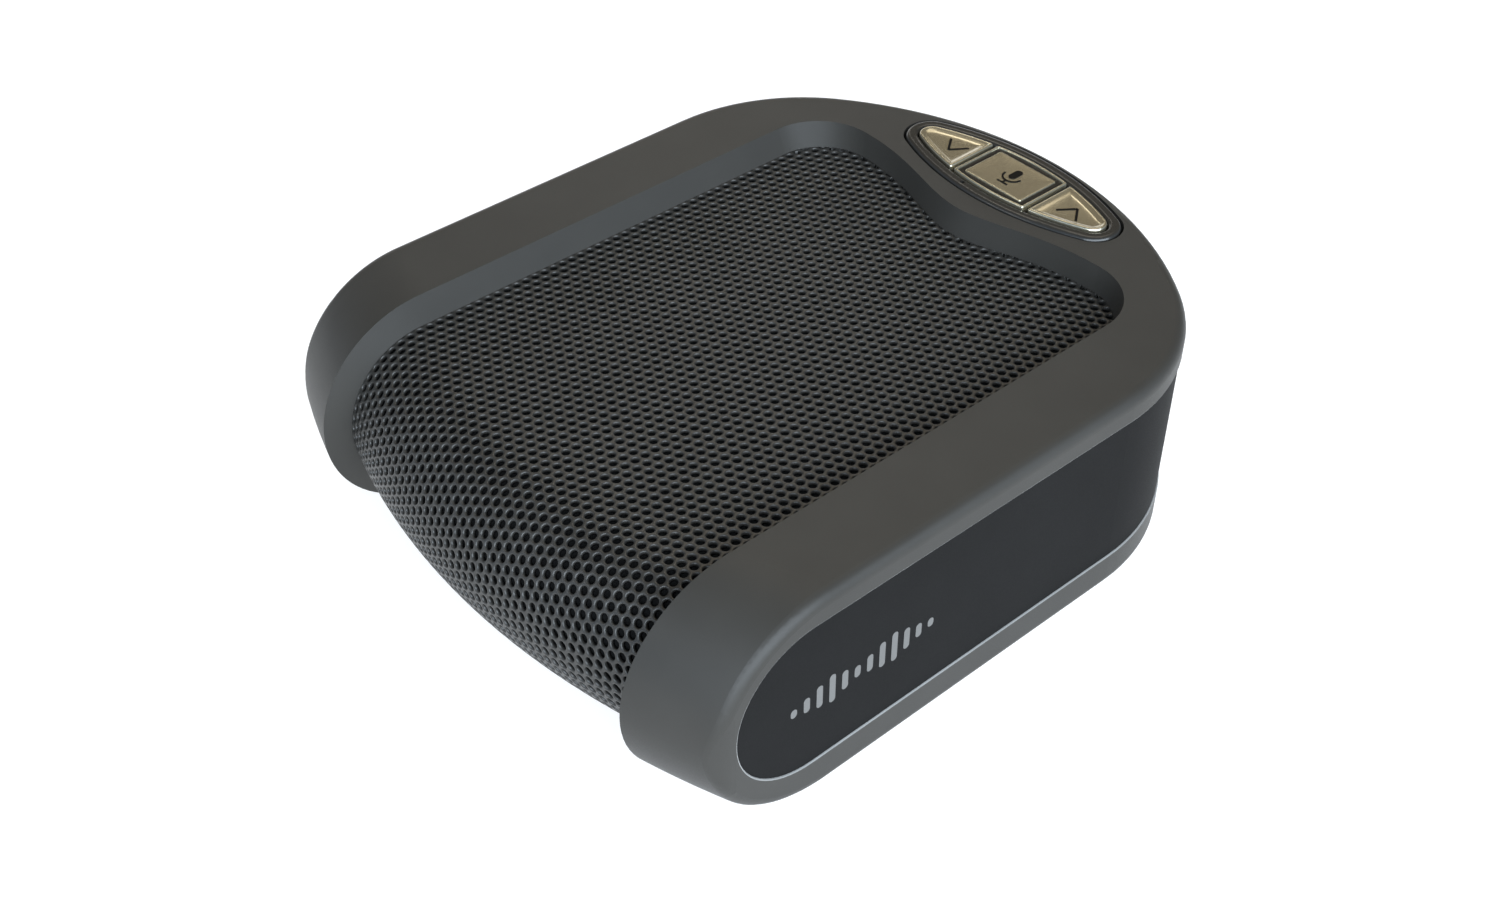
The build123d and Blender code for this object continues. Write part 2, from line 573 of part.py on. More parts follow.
with BuildPart() as speaker_surround:
    # a half roll between the cone's rim and the basket's flange
    with BuildSketch(SPEAKER_PLANE):
        with BuildLine():
            Line((17.6, 27.5), (17.6, 27.8))
            Line((17.6, 27.8), (18.8, 27.8))
            ThreePointArc((18.8, 27.8), (20.2, 29.2), (21.6, 27.8 + 0.3))
            Polyline((21.6, 28.1), (23.1, 28.1), (23.1, 27.8), (21.4, 27.8))
            ThreePointArc((21.4, 27.8), (20.2, 28.9), (19.1, 27.5))
            Line((19.1, 27.5), (17.6, 27.5))
        make_face()
    revolve(axis=SPEAKER_AXIS)
keep(speaker_surround, "speaker_surround")

with BuildPart() as speaker_spider:
    # a corrugated cloth disc that centres the voice coil
    with BuildSketch(SPEAKER_PLANE):
        with BuildLine():
            Polyline((7.0, 19.0), (8.2, 19.0), (8.8, 19.5), (9.4, 19.0), (10.0, 19.5), (10.6, 19.0), (12.3, 19.0),
                     (14.1, 19.0), (14.1, 19.25), (10.7, 19.25), (10.0, 19.8), (9.4, 19.3), (8.8, 19.8), (8.1, 19.25),
                     (7.0, 19.25), close=True)
        make_face()
    revolve(axis=SPEAKER_AXIS)
keep(speaker_spider, "speaker_spider")

with BuildPart() as speaker_tags:
    with Locations((0, SPEAKER_Y + 13.2, 16.8)):
        Box(6, 6, 1, align=(Align.CENTER, Align.MIN, Align.MAX))
keep(speaker_tags, "speaker_tags")

# ---- electronics -----------------------------------------------------------------------------------
with BuildPart() as main_board:
    with BuildSketch(Plane.XY.offset(BOARD_TOP - BOARD_SHEET)):
        add(strip(-30, 30, 13, 44))
        add(strip(-12, 12, 43, 56))
        with Locations(*BOARD_SCREWS):
            Circle(1.1, mode=Mode.SUBTRACT)
    extrude(amount=BOARD_SHEET)
keep(main_board, "main_board")


def on_board(name, width, depth, height, places):
    """One kind of component, standing on the main board at each place."""
    with BuildPart() as component:
        with Locations(*[(x, y, BOARD_TOP) for x, y in places]):
            Box(width, depth, height, align=(Align.CENTER, Align.CENTER, Align.MIN))
    keep(component, name)


on_board("audio_chip", 9, 9, 1.2, [(-8, 33)])
on_board("radio_module", 13, 11, 2.0, [(17, 31)])
on_board("power_chip", 5, 5, 1.0, [(-20, 30)])
on_board("board_capacitors", 1.6, 0.9, 0.9, [(x, y) for x in (-14, -11, -8, -5, -2) for y in (25, 27.5)])
on_board("speaker_connector", 8, 4, 3.0, [(0, 19)])
on_board("battery_connector", 8, 4, 3.0, [(-15, 18)])
on_board("ribbon_connector", 8, 3, 1.6, [(0, 40)])

with BuildPart() as key_board_connector:
    with Locations((0, 46.2, KEY_BOARD_TOP - BOARD_SHEET)):
        Box(8, 3, 1.6, align=(Align.CENTER, Align.CENTER, Align.MAX))
keep(key_board_connector, "key_board_connector")

with BuildPart() as usb_socket:
    with Locations((SOCKET_X, SOCKET_FACE, BOARD_TOP)):
        Box(*SOCKET, align=(Align.CENTER, Align.MAX, Align.MIN))
    with Locations((SOCKET_X, SOCKET_FACE, BOARD_TOP + SOCKET[2] / 2)):
        Box(SOCKET[0] - 0.8, SOCKET[1] - 0.6, SOCKET[2] - 0.8, align=(Align.CENTER, Align.MAX, Align.CENTER),
            mode=Mode.SUBTRACT)
    fillet(usb_socket.edges().filter_by(Axis.Y), 0.35)
keep(usb_socket, "usb_socket")

with BuildPart() as usb_tongue:
    with Locations((SOCKET_X, SOCKET_FACE - SOCKET[1] + 0.6, BOARD_TOP + SOCKET[2] / 2)):
        Box(5.0, 4.6, 0.7, align=(Align.CENTER, Align.MIN, Align.CENTER))
keep(usb_tongue, "usb_tongue")

with BuildPart() as power_switch_case:
    with Locations((SWITCH_X, SWITCH_FACE, BOARD_TOP)):
        Box(8.6, 3.4, 2.6, align=(Align.CENTER, Align.MAX, Align.MIN))
    with Locations((SWITCH_X, SWITCH_FACE, SOCKET_Z)):
        Box(SWITCH_KNOB[0] + SWITCH_TRAVEL + 0.6, 2.0, SWITCH_KNOB[1] + 0.3,
            align=(Align.CENTER, Align.MAX, Align.CENTER), mode=Mode.SUBTRACT)
keep(power_switch_case, "power_switch_case")

with BuildPart() as power_switch_knob:
    with Locations((SWITCH_X - SWITCH_TRAVEL / 2, SWITCH_FACE - 1.6, SOCKET_Z)):
        Box(SWITCH_KNOB[0], 6.7, SWITCH_KNOB[1], align=(Align.CENTER, Align.MIN, Align.CENTER))
    fillet(power_switch_knob.edges().group_by(Axis.Y)[-1], 0.25)
keep(power_switch_knob, "power_switch_knob")

with BuildPart() as battery_pad:
    with Locations((0, BATTERY_Y, COVER_TOP)):
        Box(46, 30, 0.3, align=(Align.CENTER, Align.CENTER, Align.MIN))
keep(battery_pad, "battery_pad")

with BuildPart() as battery_pack:
    with Locations((0, BATTERY_Y, COVER_TOP + 0.3)):
        Box(50, 34, 4.5, align=(Align.CENTER, Align.CENTER, Align.MIN))
    fillet(battery_pack.edges().filter_by(Axis.X), 1.2)
keep(battery_pack, "battery_pack")


# ---- wires -----------------------------------------------------------------------------------------
def wires(name, routes, radius, diameter):
    """Round wires along straight runs joined by arcs, one solid for each route."""
    with BuildPart() as bundle:
        for route in routes:
            with BuildLine() as path:
                FilletPolyline(*route, radius=radius)
            with BuildSketch(Plane(origin=path.line @ 0, z_dir=path.line % 0)):
                Circle(diameter / 2)
            sweep(path=path.line)
    keep(bundle, name)


speaker_routes = [[(x, 16.2, 16.3), (x, 19.0, 16.3), (x, 19.0, 13.2)] for x in (-1.5, 1.5)]
wires("speaker_wires", speaker_routes, 1.4, 0.9)
battery_routes = [[(x, 3.0, 5.6), (x, 10.2, 5.6), (x, 10.2, 11.8), (x, 16.0, 11.8)] for x in (-17.5, -15.5)]
wires("battery_wires", battery_routes, 2.2, 1.0)

with BuildPart() as ribbon_cable:
    with BuildSketch(Plane.YZ.offset(-3)):
        with BuildLine() as ribbon_path:
            FilletPolyline((46.2, 29.4), (46.2, 25.0), (40.0, 19.0), (40.0, 11.8), radius=4)
        trace(line_width=0.3)
    extrude(amount=6)
keep(ribbon_cable, "ribbon_cable")


# ---- screws ----------------------------------------------------------------------------------------
def screws(name, places, seat, shank, length, head, head_height, up=True):
    """Pan head screws, one solid for each place: the head's inner face lies at seat."""
    toward, away = (Align.MIN, Align.MAX) if up else (Align.MAX, Align.MIN)
    with BuildPart() as group:
        with Locations(*[(x, y, seat) for x, y in places]):
            Cylinder(shank, length, align=(Align.CENTER, Align.CENTER, toward))
            Cylinder(head, head_height, align=(Align.CENTER, Align.CENTER, away))
        face = seat - head_height if up else seat + head_height
        with Locations(*[(x, y, face) for x, y in places]):
            Box(head * 1.1, 0.4, 0.8, mode=Mode.SUBTRACT)
            Box(0.4, head * 1.1, 0.8, mode=Mode.SUBTRACT)
    keep(group, name)


screws("housing_screws", HOUSING_SCREWS, BASE + 1.6, 1.05, 8.0, 2.0, 1.2)
screws("board_screws", BOARD_SCREWS, BOARD_TOP, 0.9, 5.0, 1.8, 1.1, up=False)
screws("baffle_screws", BAFFLE_SCREWS, BAFFLE_TOP - BAFFLE_SHEET, 0.8, 3.4, 1.0, 0.9)
screws("key_board_screws", KEY_BOARD_SCREWS, KEY_BOARD_TOP - BOARD_SHEET, 0.8, 3.4, 1.4, 0.9)
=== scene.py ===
"""Looks of the conference speakerphone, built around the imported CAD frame.

The frame gives every place and size. This script adds the perforated grille, the keys' finish and icons,
the materials of every node, the lights and the camera. Lengths are in metres, angles in degrees.
"""
import json
from math import cos, pi, radians, sin, sqrt

import bpy
import numpy as np
from mathutils import Matrix, Vector


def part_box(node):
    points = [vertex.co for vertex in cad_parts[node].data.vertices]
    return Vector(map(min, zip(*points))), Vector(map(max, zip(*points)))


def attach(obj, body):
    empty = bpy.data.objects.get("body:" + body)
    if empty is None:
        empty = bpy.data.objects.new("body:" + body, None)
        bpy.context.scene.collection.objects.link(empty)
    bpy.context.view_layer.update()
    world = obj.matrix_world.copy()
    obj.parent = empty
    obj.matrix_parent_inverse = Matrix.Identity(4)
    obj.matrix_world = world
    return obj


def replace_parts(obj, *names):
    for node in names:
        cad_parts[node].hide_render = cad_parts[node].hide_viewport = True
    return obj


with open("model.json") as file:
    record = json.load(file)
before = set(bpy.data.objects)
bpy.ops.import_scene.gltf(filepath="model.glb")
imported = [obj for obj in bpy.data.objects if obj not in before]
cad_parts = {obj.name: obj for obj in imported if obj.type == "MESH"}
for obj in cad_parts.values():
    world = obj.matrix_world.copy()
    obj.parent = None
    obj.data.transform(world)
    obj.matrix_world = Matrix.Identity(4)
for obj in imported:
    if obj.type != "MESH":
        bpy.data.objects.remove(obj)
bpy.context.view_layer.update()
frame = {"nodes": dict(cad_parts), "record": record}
nodes = frame["nodes"]
scene = bpy.context.scene

MM = 0.001
NEAR = 0.01 * MM                # points closer than this count as level with each other

# ---- camera ----------------------------------------------------------------------------------------
CAMERA_PLACE = Vector((168.5, -149.4, 203.9)) * MM
CAMERA_AZIMUTH = 49.56
CAMERA_ELEVATION = 41.09
CAMERA_ROLL = -0.49
LENS = 44.13                    # focal length, in mm
SENSOR = 36.0                   # its width, in mm
CLIP = 0.01                     # nothing nearer than this is seen


def add_camera():
    """The main view: from the right of the front, looking down at the grille."""
    azimuth, elevation = radians(CAMERA_AZIMUTH), radians(CAMERA_ELEVATION)
    back = Vector((sin(azimuth) * cos(elevation), -cos(azimuth) * cos(elevation), sin(elevation)))
    level = Vector((cos(azimuth), sin(azimuth), 0))
    right = Matrix.Rotation(radians(CAMERA_ROLL), 3, back) @ level
    turn = Matrix((right, back.cross(right), back)).transposed()
    data = bpy.data.cameras.new("camera")
    data.lens = LENS
    data.sensor_width = SENSOR
    data.clip_start = CLIP
    camera = bpy.data.objects.new("camera", data)
    camera.matrix_world = Matrix.Translation(CAMERA_PLACE) @ turn.to_4x4()
    scene.collection.objects.link(camera)
    scene.camera = camera


add_camera()


# ---- materials -------------------------------------------------------------------------------------
COAT_ROUGHNESS = 0.1
NOISE_LOW, NOISE_HIGH = 0.3, 0.7        # nearly all of a noise lies between these
BROAD_GRAIN = 90.0              # lumps per metre
BROAD_DETAIL = 2.0
ROUGHNESS_SPREAD = 0.05         # to each side


def new_material(name, colour, roughness, metallic=0.0, specular=0.5, coat=0.0):
    """A Principled material with its even values on the shader's own sockets."""
    material = bpy.data.materials.new(name)
    material.use_nodes = True
    shader = material.node_tree.nodes["Principled BSDF"]
    shader.inputs["Base Color"].default_value = (*colour, 1.0)
    shader.inputs["Roughness"].default_value = roughness
    shader.inputs["Metallic"].default_value = metallic
    shader.inputs["Specular IOR Level"].default_value = specular
    shader.inputs["Coat Weight"].default_value = coat
    shader.inputs["Coat Roughness"].default_value = COAT_ROUGHNESS
    return material


def add_noise(material, scale, detail=3.0):
    """A noise over the object's own coordinates; scale is in lumps per metre."""
    tree = material.node_tree
    place = tree.nodes.new("ShaderNodeTexCoord")
    noise = tree.nodes.new("ShaderNodeTexNoise")
    noise.inputs["Scale"].default_value = scale
    noise.inputs["Detail"].default_value = detail
    tree.links.new(place.outputs["Object"], noise.inputs["Vector"])
    return noise


def vary_colour(material, noise, dark, light):
    """The colour runs from dark to light with the noise."""
    tree = material.node_tree
    ramp = tree.nodes.new("ShaderNodeValToRGB")
    ramp.color_ramp.elements[0].position = NOISE_LOW
    ramp.color_ramp.elements[1].position = NOISE_HIGH
    ramp.color_ramp.elements[0].color = (*dark, 1.0)
    ramp.color_ramp.elements[1].color = (*light, 1.0)
    tree.links.new(noise.outputs["Fac"], ramp.inputs["Fac"])
    tree.links.new(ramp.outputs["Color"], tree.nodes["Principled BSDF"].inputs["Base Color"])


def vary_roughness(material, noise, low, high):
    """The roughness runs from low to high with the noise."""
    tree = material.node_tree
    spread = tree.nodes.new("ShaderNodeMapRange")
    spread.inputs["From Min"].default_value = NOISE_LOW
    spread.inputs["From Max"].default_value = NOISE_HIGH
    spread.inputs["To Min"].default_value = low
    spread.inputs["To Max"].default_value = high
    tree.links.new(noise.outputs["Fac"], spread.inputs["Value"])
    tree.links.new(spread.outputs["Result"], tree.nodes["Principled BSDF"].inputs["Roughness"])


def add_bump(material, noise, height):
    """Fine relief from the noise, height metres from its lowest to its highest point."""
    tree = material.node_tree
    bump = tree.nodes.new("ShaderNodeBump")
    bump.inputs["Strength"].default_value = 1.0
    bump.inputs["Distance"].default_value = height
    tree.links.new(noise.outputs["Fac"], bump.inputs["Height"])
    tree.links.new(bump.outputs["Normal"], tree.nodes["Principled BSDF"].inputs["Normal"])


def scaled(colour, factor):
    """A colour made darker or lighter."""
    return tuple(value * factor for value in colour)


def moulded(name, colour, roughness, grain, height, vary=0.06, **shader):
    """Plastic or paint with a fine grain: colour, roughness and relief vary a little with it."""
    material = new_material(name, colour, roughness, **shader)
    fine = add_noise(material, grain)
    broad = add_noise(material, BROAD_GRAIN, detail=BROAD_DETAIL)
    vary_colour(material, broad, scaled(colour, 1 - vary), scaled(colour, 1 + vary))
    vary_roughness(material, fine, roughness - ROUGHNESS_SPREAD, roughness + ROUGHNESS_SPREAD)
    add_bump(material, fine, height)
    return material


HOUSING_GREY = (0.0285, 0.0270, 0.0240)
BELT_GREY = (0.0078, 0.0077, 0.0077)
GRILLE_GREY = (0.031, 0.0298, 0.0275)
KEY_METAL = (0.44, 0.405, 0.30)

materials = {
    "housing": moulded("housing_paint", HOUSING_GREY, 0.45, 6000, 0.000010, specular=0.25),
    # the edge's light grey is a painted highlight: the same paint as the housing, made lighter to show
    # the bright line along the belt recess's rounded edge
    "edge": moulded("edge_painted_highlight", (0.17, 0.17, 0.165), 0.25, 6000, 0.000002, specular=0.6),
    "cover": moulded("cover_plastic", (0.030, 0.030, 0.032), 0.55, 3500, 0.00003),
    "belt": moulded("belt_plastic", BELT_GREY, 0.6, 6000, 0.000004, specular=0.05),
    "grille": moulded("grille_paint", GRILLE_GREY, 0.38, 5000, 0.000008, metallic=0.35),
    "cloth": moulded("cloth_weave", (0.004, 0.004, 0.004), 0.95, 2500, 0.0001, specular=0.1),
    "bezel": moulded("bezel_plastic", (0.016, 0.0155, 0.014), 0.22, 5000, 0.000003, specular=0.45),
    "key_metal": moulded("key_finish", KEY_METAL, 0.22, 4000, 0.000001, metallic=0.9, coat=0.5),
    "smoked": moulded("smoked_plastic", (0.010, 0.010, 0.009), 0.15, 3000, 0.000003),
    "icon": moulded("icon_ink", (0.006, 0.005, 0.004), 0.6, 4000, 0.000002, specular=0.05),
    "mark": moulded("mark_ink", (0.095, 0.094, 0.090), 0.45, 4000, 0.000002),
    "inner_plastic": moulded("inner_plastic", (0.045, 0.045, 0.045), 0.5, 3500, 0.00002),
    "plunger": moulded("plunger_plastic", (0.55, 0.55, 0.52), 0.45, 3500, 0.00001),
    "switch_metal": moulded("tinned_steel", (0.55, 0.55, 0.55), 0.3, 4000, 0.000006, metallic=1.0),
    "board": moulded("solder_mask", (0.02, 0.12, 0.06), 0.35, 3000, 0.00001),
    "light": moulded("light_lens", (0.6, 0.15, 0.1), 0.2, 3000, 0.000005),
    "rubber": moulded("rubber", (0.018, 0.018, 0.018), 0.75, 4000, 0.00003),
    "mic_metal": moulded("microphone_can", (0.6, 0.6, 0.6), 0.3, 4000, 0.000005, metallic=1.0),
    "foam": moulded("foam", (0.05, 0.05, 0.05), 0.95, 1500, 0.0002),
    "steel": moulded("zinc_steel", (0.45, 0.46, 0.48), 0.35, 3000, 0.00001, metallic=1.0),
    "magnet": moulded("ferrite", (0.05, 0.05, 0.055), 0.6, 2500, 0.00003),
    "cone_paper": moulded("cone_paper", (0.04, 0.04, 0.04), 0.85, 1800, 0.00008),
    "former": moulded("former_film", (0.45, 0.25, 0.06), 0.3, 3000, 0.00001),
    "copper": moulded("copper_wire", (0.75, 0.33, 0.15), 0.3, 3000, 0.00002, metallic=1.0),
    "spider_cloth": moulded("spider_cloth", (0.45, 0.30, 0.12), 0.9, 2500, 0.0001),
    "chip": moulded("chip_package", (0.015, 0.015, 0.016), 0.5, 4000, 0.00001),
    "ceramic": moulded("capacitor", (0.35, 0.25, 0.15), 0.4, 3000, 0.00001),
    "connector": moulded("nylon", (0.70, 0.66, 0.55), 0.45, 3000, 0.00001),
    "battery_wrap": moulded("battery_film", (0.12, 0.16, 0.26), 0.25, 1500, 0.00003),
    "wire": moulded("wire_sleeve", (0.30, 0.03, 0.025), 0.4, 3000, 0.00001),
    "ribbon": moulded("ribbon_film", (0.45, 0.24, 0.06), 0.3, 3000, 0.00001),
    "screw": moulded("black_zinc", (0.10, 0.10, 0.10), 0.35, 4000, 0.00001, metallic=0.9),
    "label": moulded("label_film", (0.08, 0.08, 0.08), 0.4, 3000, 0.000005),
}
slot_of = {part["node"]: part["material_slot"] for part in frame["record"]["subparts"]}
for name, node in nodes.items():
    node.data.materials.clear()
    node.data.materials.append(materials[slot_of[name]])


def add_piece(name, points, faces, slot, body="housing", smooth=True):
    """A mesh piece in the shared frame: it rides on a body and has the finish of a material slot."""
    mesh = bpy.data.meshes.new(name)
    mesh.from_pydata([tuple(p) for p in points], [], [list(f) for f in faces])
    mesh.validate()
    mesh.materials.append(materials[slot])
    piece = bpy.data.objects.new(name, mesh)
    scene.collection.objects.link(piece)
    if smooth:
        mesh.polygons.foreach_set("use_smooth", [True] * len(mesh.polygons))
    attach(piece, body)
    return piece


# ---- perforated grille -----------------------------------------------------------------------------
PITCH = 1.8 * MM                # from hole to hole; the nearest ones are in line from front to rear
HOLE = 0.355 * PITCH            # radius
HOLE_EDGE = 0.075 * PITCH       # the pressed rim of each hole, widening to the face
SHEET = 0.75 * MM               # thickness
FIRST_HOLE = (-0.4 * MM, -0.87 * MM)    # the one next to the middle, as x and y
RING = 12                       # points round a hole
COLUMNS = 24                    # on each side of the middle
FRONT_RADIUS = 123.2 * MM       # bow of the front, seen from above
LIP = 3 * MM                    # how far the sheet runs back under the front
REAR_PART = 30 * MM             # the rear edge lies behind this y
WELD = 0.002 * MM               # corners of two cells that are this close are one point


def grille_rear_edge():
    """The grille's rear edge as x and y, read from the CAD sheet's top face."""
    points = np.array([v.co for v in nodes["speaker_grille"].data.vertices])
    low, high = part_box("speaker_grille")
    rear = points[(points[:, 2] > high.z - NEAR) & (points[:, 1] > REAR_PART)]
    rear = rear[np.argsort(rear[:, 0])]
    return rear[:, 0], rear[:, 1]


def grille_surface(x, run, depth):
    """Points of the bent sheet: run is the y that a point has while the sheet is still flat."""
    low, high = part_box("speaker_grille")
    radius = (high.z - low.z) / 2
    front = low.y + FRONT_RADIUS - np.sqrt(FRONT_RADIUS**2 - x**2)
    slope = x / np.sqrt(FRONT_RADIUS**2 - x**2)
    turn = np.clip((front + radius - run) / radius, 0, pi)
    lip = np.maximum(front + radius - run - pi * radius, 0)
    y = np.where(turn > 0, front + radius - radius * np.sin(turn) + lip, run)
    z = high.z - radius + radius * np.cos(turn)
    normal = np.stack([slope * np.sin(turn), -np.sin(turn), np.cos(turn)], -1)
    normal /= np.linalg.norm(normal, axis=-1, keepdims=True)
    return np.stack([x, y, z], -1) - normal * depth[..., None]


def perforated_sheet(name, first_column, end_column):
    """The grille between two columns: a six-sided cell round each hole, cut off at the sheet's edge."""
    low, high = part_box("speaker_grille")
    edge_x, edge_y = grille_rear_edge()
    column = PITCH * sqrt(3) / 2
    radius = (high.z - low.z) / 2
    run_end = low.y + radius - pi * radius - LIP
    holes = []
    for k in range(first_column, end_column):
        x = FIRST_HOLE[0] + k * column
        shift = FIRST_HOLE[1] + (PITCH / 2 if k % 2 else 0)
        count_low = int(np.floor((run_end - shift) / PITCH)) - 1
        count_high = int(np.ceil((high.y - shift) / PITCH)) + 1
        holes += [(x, shift + n * PITCH) for n in range(count_low, count_high + 1)]
    holes = np.array(holes)
    angle = 2 * pi * np.arange(RING) / RING
    reach = np.where(np.arange(RING) % 2 == 0, PITCH / sqrt(3), PITCH / 2)
    rings = (                       # distance from the hole's middle, and depth under the face
        (reach, 0.0),
        (HOLE + HOLE_EDGE, 0.0),
        (HOLE, HOLE_EDGE),
        (HOLE, SHEET),
        (reach, SHEET),
    )
    x = np.stack([holes[:, :1] + r * np.cos(angle) for r, _ in rings], 1)
    run = np.stack([holes[:, 1:] + r * np.sin(angle) for r, _ in rings], 1)
    depth = np.stack([np.full(x[:, 0].shape, d) for _, d in rings], 1)
    x = np.clip(x, low.x, high.x)
    run = np.clip(run, run_end, np.interp(x, edge_x, edge_y))
    keys = np.stack([x, run, depth], -1).reshape(-1, 3)
    _, first, shared = np.unique(np.round(keys / WELD).astype(np.int64), axis=0,
                                 return_index=True, return_inverse=True)
    keys = keys[first]
    points = grille_surface(keys[:, 0], keys[:, 1], keys[:, 2])
    shared = shared.reshape(len(holes), len(rings), RING)
    faces = []
    for i in range(len(rings) - 1):
        a, b = shared[:, i], shared[:, i + 1]
        quads = np.stack([a, np.roll(a, -1, 1), np.roll(b, -1, 1), b], -1).reshape(-1, 4)
        faces.append(quads)
    faces = np.concatenate(faces)
    # cells cut off at the edge leave faces without area, which go
    kept = [list(dict.fromkeys(f)) for f in faces.tolist() if len(set(f)) > 2]
    used = np.unique(np.concatenate([np.array(f) for f in kept]))
    renumber = {old: new for new, old in enumerate(used.tolist())}
    kept = [[renumber[i] for i in f] for f in kept]
    return add_piece(name, points[used], kept, "grille")


for name, first, end in (("grille_left", -COLUMNS, 0), ("grille_right", 0, COLUMNS)):
    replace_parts(perforated_sheet(name, first, end), "speaker_grille")


# ---- keys ------------------------------------------------------------------------------------------
LENS_TIP = 2.3 * MM             # radius of the key cluster's two tips
KEY_CORNER = 0.35 * MM
SMALLEST_CORNER = 0.08 * MM
CORNER_POINTS = 5
MIDDLE_POINTS = 25              # on each long side of the middle key
END_POINTS = 20                 # on each long side of an end key
TIP_POINTS = 14                 # round the tip of an end key
KEY_FLANGE = 0.5 * MM           # how far the keys' hidden flanges reach past the lens
EDGE_BAND = 0.9                 # how far in, in mm, a face keeps its outline's shape
DISH_REACH = 6.0                # how far in, in mm, its middle is
# a face from its side to its middle: distance in from the edge, and depth, both in mm
KEY_PROFILE = (
    (0.0, 2.6), (0.0, 0.42), (0.06, 0.2), (0.2, 0.05), (0.36, 0.0), (0.5, 0.04), (0.62, 0.14),
    (0.9, 0.24), (1.3, 0.34), (1.8, 0.42), (2.6, 0.46), (3.8, 0.49), (5.0, 0.50),
)
PLATE_PROFILE = (
    (0.0, 2.2), (0.0, 0.15), (0.06, 0.04), (0.2, 0.0), (0.4, 0.02), (0.9, 0.06), (2.0, 0.1),
    (3.6, 0.14), (5.0, 0.15),
)
FRAME_PROFILE = (
    (0.0, 2.6), (0.0, 0.25), (0.1, 0.06), (0.24, 0.0), (0.38, 0.06), (0.46, 0.25), (0.46, 1.2),
)
ICON_HEIGHT = 0.03 * MM
ICON_STROKE = 0.42 * MM
THIN_STROKE = 0.8 * ICON_STROKE
ICON_SHIFT = 0.35 * MM          # the icons lie a little to the right of their keys' middles
CHEVRON_X = 13.2 * MM
CHEVRON = ((-2.1, -1.4), (0, 1.4), (2.1, -1.4))     # in mm, pointing to the rear
CHEVRON_DEPTH = 0.41 * MM       # under the rims of the volume keys
MICROPHONE_DEPTH = 0.06 * MM    # under the rim of the mute key's plate
# the microphone icon, in mm from its middle
CAPSULE_RADIUS = 0.7
CAPSULE_ENDS = (0.2, 1.7)       # y of the middles of its two round ends
CRADLE_RADIUS = 1.7
CRADLE_Y = 0.3
STEM = ((0, -1.4), (0, -2.3))
FOOT = ((-1.1, -2.3), (1.1, -2.3))
CRADLE_POINTS = 17
ROUND_END_POINTS = 9


def round_corner(corner, before, after, radius):
    """A corner of an outline as points of an arc."""
    into = (before - corner) / np.linalg.norm(before - corner)
    out = (after - corner) / np.linalg.norm(after - corner)
    half = np.arccos(np.clip(into @ out, -1, 1)) / 2
    middle = corner + (into + out) / np.linalg.norm(into + out) * radius / np.sin(half)
    start, end = (corner + way * radius / np.tan(half) - middle for way in (into, out))
    turns = [start * (1 - t) + end * t for t in np.linspace(0, 1, CORNER_POINTS)]
    return [middle + v / np.linalg.norm(v) * radius for v in turns]


def moved_in(outline, distance):
    """An outline, drawn anticlockwise, with every side moved in by a distance."""
    normals = []
    for step in (outline - np.roll(outline, 1, 0), np.roll(outline, -1, 0) - outline):
        step = step / np.linalg.norm(step, axis=1, keepdims=True)
        normals.append(np.stack([-step[:, 1], step[:, 0]], 1))
    shared = 1 + (normals[0] * normals[1]).sum(1, keepdims=True)
    return outline + (normals[0] + normals[1]) / shared * distance


def with_round_corners(outline, corners, radius):
    """An outline with the numbered points turned into arcs."""
    points = []
    for i, point in enumerate(outline):
        if i in corners:
            points += round_corner(point, outline[i - 1], outline[(i + 1) % len(outline)], radius)
        else:
            points.append(point)
    return np.array(points)


class KeyLens:
    """The lens of the three keys, read from their CAD boxes: its two long edges are arcs."""

    def __init__(self):
        outer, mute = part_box("volume_up_key")[1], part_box("mute_key_frame")
        self.middle_y = (mute[0].y + mute[1].y) / 2
        self.half = (mute[1].y - mute[0].y) / 2 - KEY_FLANGE
        self.run = outer.x - KEY_FLANGE - LENS_TIP
        self.radius = (self.run**2 + self.half**2 - LENS_TIP**2) / (2 * (self.half - LENS_TIP))
        self.tip_x = self.run * self.radius / (self.radius - LENS_TIP)

    def edge(self, x):
        """How far the long edge lies from the lens's middle line at x."""
        return self.half - self.radius + np.sqrt(self.radius**2 - x**2)

    def middle_key(self):
        """Outline and corner numbers of the key between two straight sides."""
        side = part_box("mute_key_frame")[1].x
        xs = np.linspace(side, -side, MIDDLE_POINTS)
        rim = [(x, self.edge(x)) for x in xs] + [(x, -self.edge(x)) for x in xs[::-1]]
        return np.array(rim) + (0, self.middle_y), (0, len(xs) - 1, len(xs), 2 * len(xs) - 1)

    def end_key(self, side):
        """Outline and corner numbers of the key at one end of the lens."""
        xs = np.linspace(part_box("volume_up_key")[0].x, self.tip_x, END_POINTS)
        tip_angle = np.arctan2(self.edge(self.tip_x), self.tip_x - self.run)
        turns = np.linspace(-tip_angle, tip_angle, TIP_POINTS)[1:-1]
        rim = [(x, -self.edge(x)) for x in xs]
        rim += [(self.run + LENS_TIP * cos(a), LENS_TIP * sin(a)) for a in turns]
        rim += [(x, self.edge(x)) for x in xs[::-1]]
        rim = np.array(rim)
        if side < 0:
            rim = rim[::-1] * (-1, 1)
        return rim + (0, self.middle_y), (0, len(rim) - 1)


